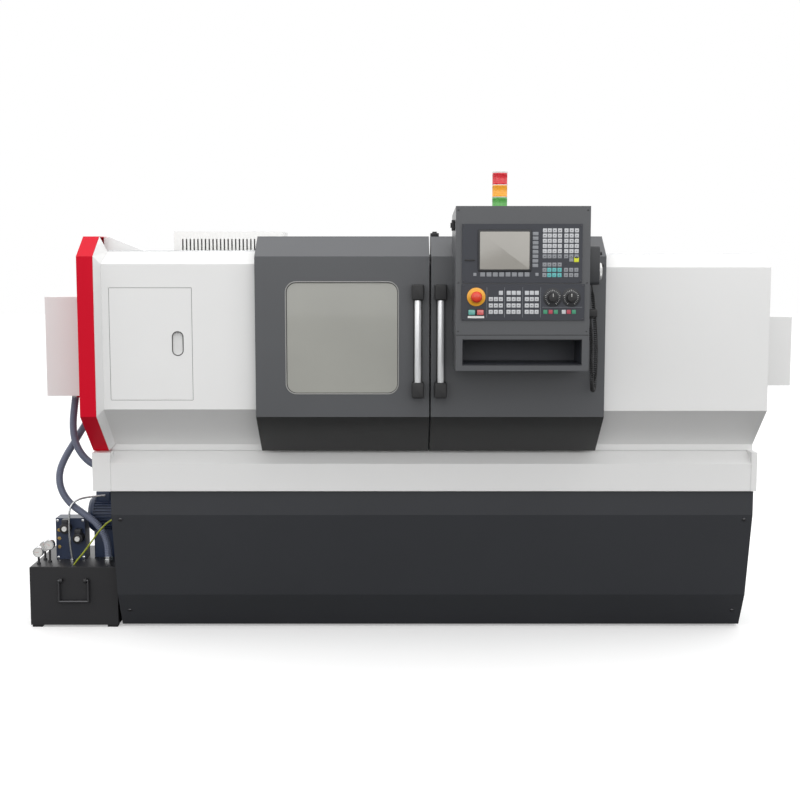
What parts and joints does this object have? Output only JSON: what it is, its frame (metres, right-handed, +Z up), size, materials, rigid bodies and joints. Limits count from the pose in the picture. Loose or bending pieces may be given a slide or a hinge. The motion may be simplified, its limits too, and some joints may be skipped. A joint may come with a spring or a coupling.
{
  "type": "cnc turning lathe",
  "caption": "Flat-bed CNC turning lathe in a white, red and dark grey sheet-metal guard, with two sliding doors, an operator box on the right door, and a hydraulic unit on the left.",
  "frame": {"origin": "on the floor, under the middle of the machine's box", "axes": "+X along the spindle, from the headstock to the tailstock; +Y away from the operator; +Z up"},
  "size_m": [3.028, 1.5063, 1.7947],
  "materials": {
    "cast_iron": "painted",
    "white_sheet": "textured powder coat",
    "red_sheet": "gloss paint",
    "dark_sheet": "textured powder coat",
    "cabinet_sheet": "textured powder coat",
    "bright_steel": "ground",
    "tool_steel": "black oxide",
    "window_glass": "smoked",
    "black_plastic": "matt",
    "signal_plastic": "clear",
    "rubber": "matt",
    "hose_plastic": "ribbed",
    "wire_sheath": "smooth",
    "black_paint": "gloss paint",
    "blue_paint": "gloss paint",
    "chrome": "chrome"
  },
  "bodies": {
    "root": {"machine_base": "cast_iron", "front_apron": "dark_sheet", "levelling_feet": "bright_steel", "bed_tray": "white_sheet", "lathe_bed": "cast_iron", "headstock": "cast_iron", "spindle_bearings": "bright_steel", "main_motor": "black_paint", "drive_belt": "rubber", "headstock_cover": "white_sheet", "end_frame": "red_sheet", "cylinder_cover": "white_sheet", "tailstock_cover": "white_sheet", "end_hood": "white_sheet", "rear_guard": "white_sheet", "door_rails": "bright_steel", "electrical_cabinet": "cabinet_sheet", "z_motor": "black_paint", "hydraulic_tank": "black_paint", "pump_motor": "blue_paint", "valve_block": "blue_paint", "pressure_gauges": "chrome", "cylinder_hose": "hose_plastic", "drain_hose": "hose_plastic", "earth_wire": "wire_sheath"},
    "left_door": {"left_door_sheet": "dark_sheet", "window_pane": "window_glass", "left_handle": "bright_steel"},
    "right_door": {"right_door_sheet": "dark_sheet", "right_handle": "bright_steel", "control_box": "dark_sheet", "document_pocket": "dark_sheet", "screen_unit": "black_plastic", "machine_panel": "black_plastic", "tower_lamp": "signal_plastic", "pendant_case": "black_plastic", "pendant_cord": "rubber"},
    "access_leaf": {"access_door": "white_sheet"},
    "estop": {"estop_button": "signal_plastic"},
    "feed_dial": {"feed_knob": "black_plastic"},
    "spindle_dial": {"spindle_knob": "black_plastic"},
    "start_key": {"start_button": "signal_plastic"},
    "stop_key": {"stop_button": "signal_plastic"},
    "hand_wheel": {"mpg_wheel": "black_plastic"},
    "spindle_train": {"spindle": "bright_steel", "chuck_body": "bright_steel", "rotary_cylinder": "bright_steel"},
    "first_jaw": {"jaw_1": "bright_steel"},
    "second_jaw": {"jaw_2": "bright_steel"},
    "third_jaw": {"jaw_3": "bright_steel"},
    "motor_wheel": {"motor_pulley": "bright_steel"},
    "carriage": {"saddle": "cast_iron"},
    "feed_screw": {"z_screw": "bright_steel"},
    "cross": {"cross_slide": "cast_iron"},
    "turret": {"turret_head": "tool_steel"},
    "tailstock": {"tailstock_body": "cast_iron"},
    "tail_quill": {"quill": "bright_steel"},
    "centre": {"live_centre": "bright_steel"},
    "cabinet_leaf": {"cabinet_door": "cabinet_sheet"},
    "bail": {"tank_bail": "tool_steel"}
  },
  "joints": [
    {"name": "left_door_slide", "type": "slide", "parent": "root", "child": "left_door", "axis": [1, 0, 0], "range_m": [-0.56, 0]},
    {"name": "right_door_slide", "type": "slide", "parent": "root", "child": "right_door", "axis": [1, 0, 0], "range_m": [0, 0.56]},
    {"name": "access_door_hinge", "type": "hinge", "parent": "root", "child": "access_leaf", "pos_m": [-1.107, -0.435, 1.16], "axis": [0, 0, -1], "range_deg": [0, 100]},
    {"name": "estop_push", "type": "slide", "parent": "right_door", "child": "estop", "axis": [0, 1, 0], "range_m": [0, 0.005], "stiffness_N_per_m": 800},
    {"name": "spindle_dial_turn", "type": "hinge", "parent": "right_door", "child": "spindle_dial", "pos_m": [0.512, -0.721, 1.346], "axis": [0, 1, 0], "range_deg": [-150, 150]},
    {"name": "feed_dial_turn", "type": "hinge", "parent": "right_door", "child": "feed_dial", "pos_m": [0.577, -0.721, 1.346], "axis": [0, 1, 0], "range_deg": [-150, 150]},
    {"name": "start_key_push", "type": "slide", "parent": "right_door", "child": "start_key", "axis": [0, 1, 0], "range_m": [0, 0.003], "stiffness_N_per_m": 600},
    {"name": "stop_key_push", "type": "slide", "parent": "right_door", "child": "stop_key", "axis": [0, 1, 0], "range_m": [0, 0.003], "stiffness_N_per_m": 600},
    {"name": "hand_wheel_turn", "type": "hinge", "parent": "right_door", "child": "hand_wheel", "pos_m": [0.69, -0.59, 1.436], "axis": [1, 0, 0], "continuous": true},
    {"name": "spindle_spin", "type": "hinge", "parent": "root", "child": "spindle_train", "pos_m": [-0.55, -0.06, 1.11], "axis": [1, 0, 0], "continuous": true},
    {"name": "motor_spin", "type": "hinge", "parent": "root", "child": "motor_wheel", "pos_m": [-1.1, 0.262, 0.9], "axis": [1, 0, 0], "continuous": true},
    {"name": "jaw_1_slide", "type": "slide", "parent": "spindle_train", "child": "first_jaw", "axis": [0, 0, 1], "range_m": [-0.006, 0.006]},
    {"name": "jaw_2_slide", "type": "slide", "parent": "spindle_train", "child": "second_jaw", "axis": [0, -0.866, -0.5], "range_m": [-0.006, 0.006]},
    {"name": "jaw_3_slide", "type": "slide", "parent": "spindle_train", "child": "third_jaw", "axis": [0, 0.866, -0.5], "range_m": [-0.006, 0.006]},
    {"name": "carriage_slide", "type": "slide", "parent": "root", "child": "carriage", "axis": [1, 0, 0], "range_m": [-0.4, 0.22]},
    {"name": "feed_screw_turn", "type": "hinge", "parent": "root", "child": "feed_screw", "pos_m": [0.3, -0.222, 0.858], "axis": [1, 0, 0], "continuous": true},
    {"name": "cross_feed", "type": "slide", "parent": "carriage", "child": "cross", "axis": [0, 1, 0], "range_m": [-0.06, 0.05]},
    {"name": "turret_index", "type": "hinge", "parent": "cross", "child": "turret", "pos_m": [0.07, -0.232, 1.06], "axis": [0, 0, 1], "continuous": true},
    {"name": "tailstock_slide", "type": "slide", "parent": "root", "child": "tailstock", "axis": [1, 0, 0], "range_m": [-0.25, 0.2]},
    {"name": "quill_feed", "type": "slide", "parent": "tailstock", "child": "tail_quill", "axis": [-1, 0, 0], "range_m": [0, 0.1]},
    {"name": "centre_spin", "type": "hinge", "parent": "tail_quill", "child": "centre", "pos_m": [0.5, -0.06, 1.11], "axis": [1, 0, 0], "continuous": true},
    {"name": "cabinet_door_hinge", "type": "hinge", "parent": "root", "child": "cabinet_leaf", "pos_m": [-1.148, 0.7503, 0.755], "axis": [0, 0, 1], "range_deg": [0, 110]},
    {"name": "bail_swing", "type": "hinge", "parent": "root", "child": "bail", "pos_m": [-1.3355, -0.174, 0.195], "axis": [-1, 0, 0], "range_deg": [0, 100]}
  ],
  "couplings": [
    {"joint": "motor_spin", "follows": "spindle_spin", "ratio": 1},
    {"joint": "jaw_2_slide", "follows": "jaw_1_slide", "ratio": 1},
    {"joint": "jaw_3_slide", "follows": "jaw_1_slide", "ratio": 1},
    {"joint": "feed_screw_turn", "follows": "carriage_slide", "rad_per_m": 628.32}
  ]
}
